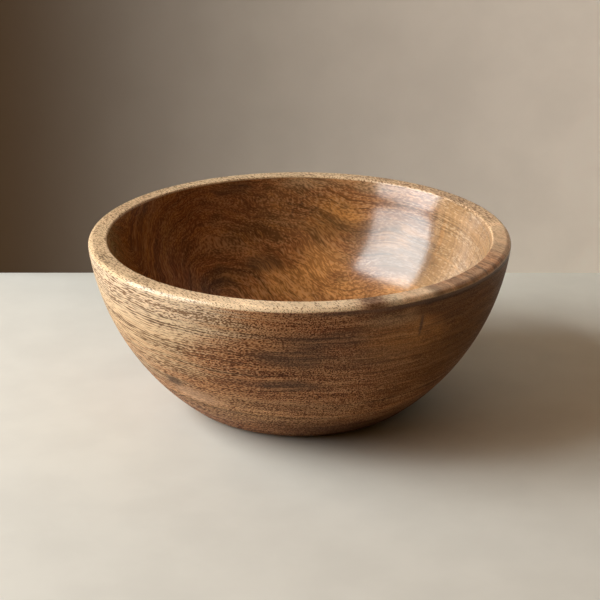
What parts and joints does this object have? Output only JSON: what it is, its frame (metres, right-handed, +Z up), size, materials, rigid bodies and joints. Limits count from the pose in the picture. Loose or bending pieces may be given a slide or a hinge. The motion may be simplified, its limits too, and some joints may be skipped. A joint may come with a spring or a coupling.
{
  "type": "salad bowl",
  "caption": "Round turned wooden salad bowl with a thick flat-topped rim, a rounded wall, a deep open hollow and a flat foot that it stands on.",
  "frame": {"origin": "centre of the foot's plane, on the bowl's axis at table level", "axes": "+Z up along the bowl's axis of revolution; -Y towards the side shown at the front of the picture"},
  "size_m": [0.3, 0.3, 0.124],
  "materials": {
    "oiled_wood": "oiled and polished, satin outside and glossier inside"
  },
  "bodies": {
    "root": {"bowl": "oiled_wood"}
  },
  "joints": []
}
